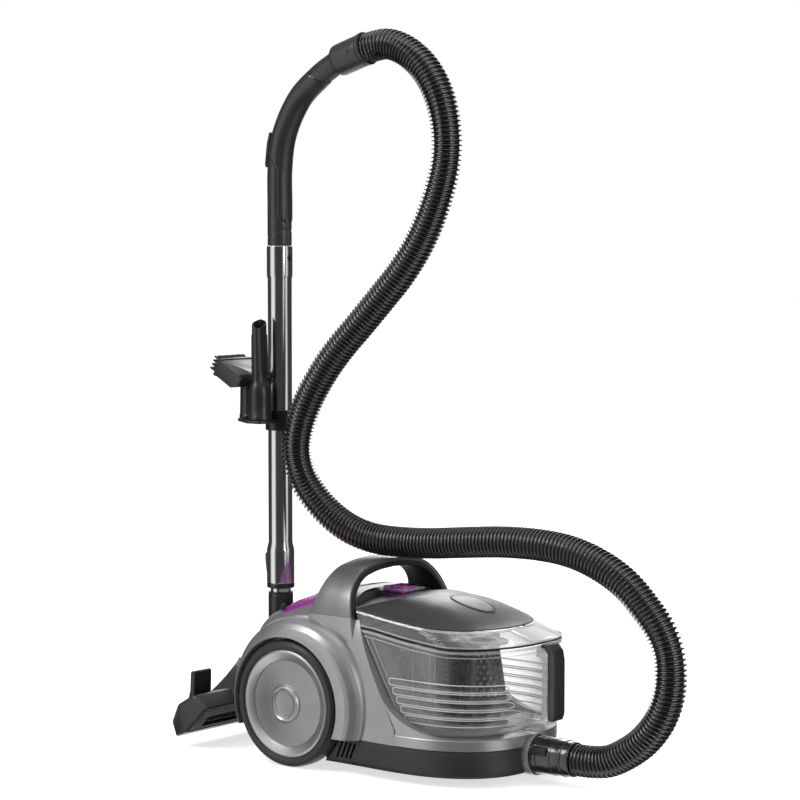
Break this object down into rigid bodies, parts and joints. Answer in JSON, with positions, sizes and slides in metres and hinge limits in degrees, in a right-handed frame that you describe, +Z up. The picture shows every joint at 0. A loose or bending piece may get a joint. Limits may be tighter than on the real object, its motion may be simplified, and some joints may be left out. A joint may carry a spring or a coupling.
{
  "type": "canister vacuum cleaner",
  "caption": "Bagless canister vacuum cleaner with large rear wheels, a clear dust bin, a carry handle, a ribbed hose and a telescopic wand with floor head parked upright.",
  "frame": {"origin": "centre of the bounding box at floor level, without the hose", "axes": "+X forwards towards the bin and hose inlet, +Y to the left side, +Z up along the parked wand"},
  "size_m": [0.7765, 0.2864, 1.0127],
  "materials": {
    "housing_silver": "satin silver-grey lacquered plastic",
    "dark_trim": "dark grey fine-textured plastic",
    "lid_dark": "dark grey metallic plastic",
    "black_plastic": "black moulded plastic",
    "black_hose": "black glossy ribbed hose",
    "purple_clear": "translucent purple plastic",
    "rubber": "soft dark grey rubber",
    "tyre": "dark grey tread rubber",
    "hub_silver": "satin silver plastic with bright rings",
    "clear_bin": "clear ribbed plastic",
    "chrome_tube": "polished plated steel tube",
    "filter_media": "pleated filter media",
    "foam": "open cell foam",
    "steel": "plain turned steel",
    "motor_metal": "laminated stack with copper windings",
    "board": "green board",
    "badge": "plain satin badge",
    "bristle": "dark bristles",
    "lint_red": "red lint picker"
  },
  "bodies": {
    "canister": {"base_chassis": "dark_trim", "main_housing": "housing_silver", "carry_handle": "housing_silver", "handle_liner": "dark_trim", "exhaust_grille": "black_plastic", "exhaust_filter": "filter_media", "parking_bracket": "black_plastic", "cord_outlet": "black_plastic", "right_wheel_axle": "steel", "left_wheel_axle": "steel", "motor_casing": "black_plastic", "motor_stator": "motor_metal", "motor_filter": "foam", "reel_axle": "steel", "power_switch": "black_plastic", "control_board": "board", "inlet_duct": "dark_trim", "inlet_ring": "housing_silver", "wand_inner_tube": "chrome_tube", "neck_socket": "black_plastic"},
    "right_wheel": {"right_wheel_tyre": "tyre", "right_wheel_hub": "hub_silver"},
    "left_wheel": {"left_wheel_tyre": "tyre", "left_wheel_hub": "hub_silver"},
    "caster_swivel": {"caster_fork": "dark_trim", "caster_pin": "steel"},
    "caster_roller": {"caster_wheel": "rubber"},
    "power_key": {"power_pedal": "purple_clear"},
    "rewind_key": {"rewind_pedal": "purple_clear"},
    "bin": {"dust_bin": "clear_bin", "bin_grip_bar": "lid_dark", "bin_seal": "rubber", "cyclone_housing": "lid_dark", "cyclone_cone": "lid_dark"},
    "lid": {"bin_lid": "lid_dark", "lid_skirt": "clear_bin", "lid_badge": "badge"},
    "lid_key": {"bin_button": "purple_clear"},
    "reel": {"cord_reel": "black_plastic"},
    "rotor": {"motor_rotor": "motor_metal"},
    "connector": {"hose_connector": "black_plastic"},
    "right_clip": {"right_latch": "black_plastic"},
    "left_clip": {"left_latch": "black_plastic"},
    "wand_upper": {"wand_outer_tube": "chrome_tube", "wand_end_ring": "black_plastic", "grip_handle": "dark_trim", "tool_holder": "black_plastic", "suction_hose": "black_hose"},
    "telescope_key": {"telescope_button": "black_plastic"},
    "grip_key": {"grip_lock_button": "black_plastic"},
    "slider": {"airflow_slider": "dark_trim"},
    "cuff": {"hose_cuff": "black_plastic"},
    "crevice": {"crevice_tool": "black_plastic"},
    "duster": {"dusting_brush": "black_plastic", "brush_bristles": "bristle"},
    "floor_head": {"head_cover": "black_plastic", "head_sole": "dark_trim", "lint_strip": "lint_red"},
    "head_key": {"brush_pedal": "black_plastic"},
    "bristle_bar": {"bristle_strip": "bristle"}
  },
  "joints": [
    {"name": "right_wheel_spin", "type": "hinge", "parent": "canister", "child": "right_wheel", "pos_m": [-0.08345, -0.1275, 0.088], "axis": [0, 1, 0], "continuous": true},
    {"name": "left_wheel_spin", "type": "hinge", "parent": "canister", "child": "left_wheel", "pos_m": [-0.08345, 0.1275, 0.088], "axis": [0, 1, 0], "continuous": true},
    {"name": "caster_turn", "type": "hinge", "parent": "canister", "child": "caster_swivel", "pos_m": [0.13855, 0, 0.014], "axis": [0, 0, 1], "continuous": true},
    {"name": "caster_roll", "type": "hinge", "parent": "caster_swivel", "child": "caster_roller", "pos_m": [0.12955, 0, 0.014], "axis": [0, 1, 0], "continuous": true},
    {"name": "power_press", "type": "slide", "parent": "canister", "child": "power_key", "axis": [0, 0, -1], "range_m": [0, 0.004], "stiffness_N_per_m": 900},
    {"name": "rewind_press", "type": "slide", "parent": "canister", "child": "rewind_key", "axis": [0, 0, -1], "range_m": [0, 0.004], "stiffness_N_per_m": 900},
    {"name": "bin_slide", "type": "slide", "parent": "canister", "child": "bin", "axis": [0.9781, 0, 0.2079], "range_m": [0, 0.08]},
    {"name": "lid_lift", "type": "slide", "parent": "bin", "child": "lid", "axis": [0, 0, 1], "range_m": [0, 0.015]},
    {"name": "lid_key_press", "type": "slide", "parent": "lid", "child": "lid_key", "axis": [0, 0, -1], "range_m": [0, 0.003], "stiffness_N_per_m": 700},
    {"name": "reel_spin", "type": "hinge", "parent": "canister", "child": "reel", "pos_m": [-0.09545, 0.055, 0.118], "axis": [0, 1, 0], "continuous": true},
    {"name": "rotor_spin", "type": "hinge", "parent": "canister", "child": "rotor", "pos_m": [-0.08345, -0.048, 0.105], "axis": [1, 0, 0], "continuous": true},
    {"name": "connector_swivel", "type": "hinge", "parent": "canister", "child": "connector", "pos_m": [0.22105, 0, 0.038], "axis": [1, 0, 0], "continuous": true},
    {"name": "right_clip_press", "type": "slide", "parent": "connector", "child": "right_clip", "axis": [0, 1, 0], "range_m": [0, 0.0014], "stiffness_N_per_m": 900},
    {"name": "left_clip_press", "type": "slide", "parent": "connector", "child": "left_clip", "axis": [0, -1, 0], "range_m": [0, 0.0014], "stiffness_N_per_m": 900},
    {"name": "wand_telescope", "type": "slide", "parent": "canister", "child": "wand_upper", "axis": [0, 0, 1], "range_m": [0, 0.25]},
    {"name": "telescope_key_press", "type": "slide", "parent": "wand_upper", "child": "telescope_key", "axis": [1, 0, 0], "range_m": [0, 0.0015], "stiffness_N_per_m": 900},
    {"name": "grip_key_press", "type": "slide", "parent": "wand_upper", "child": "grip_key", "axis": [-1, 0, 0], "range_m": [0, 0.0012], "stiffness_N_per_m": 900},
    {"name": "airflow_slide", "type": "slide", "parent": "wand_upper", "child": "slider", "axis": [0.12, 0, 0.9928], "range_m": [0, 0.008]},
    {"name": "cuff_swivel", "type": "hinge", "parent": "wand_upper", "child": "cuff", "pos_m": [-0.10295, 0, 0.9722], "axis": [0.9563, 0, 0.2924], "continuous": true},
    {"name": "crevice_lift", "type": "slide", "parent": "wand_upper", "child": "crevice", "axis": [0, 0, 1], "range_m": [0, 0.06]},
    {"name": "duster_lift", "type": "slide", "parent": "wand_upper", "child": "duster", "axis": [0, 0, 1], "range_m": [0, 0.06]},
    {"name": "head_tilt", "type": "hinge", "parent": "canister", "child": "floor_head", "pos_m": [-0.25145, 0, 0.107], "axis": [0, 1, 0], "range_deg": [0, 60]},
    {"name": "head_key_rock", "type": "hinge", "parent": "floor_head", "child": "head_key", "pos_m": [-0.28095, -0.097, 0.073], "axis": [0, 1, 0], "range_deg": [0, 6]},
    {"name": "bristle_drop", "type": "slide", "parent": "floor_head", "child": "bristle_bar", "axis": [0.7021, 0, -0.7121], "range_m": [0, 0.004]}
  ],
  "couplings": [
    {"joint": "bristle_drop", "follows": "head_key_rock", "m_per_rad": 0.038197}
  ]
}
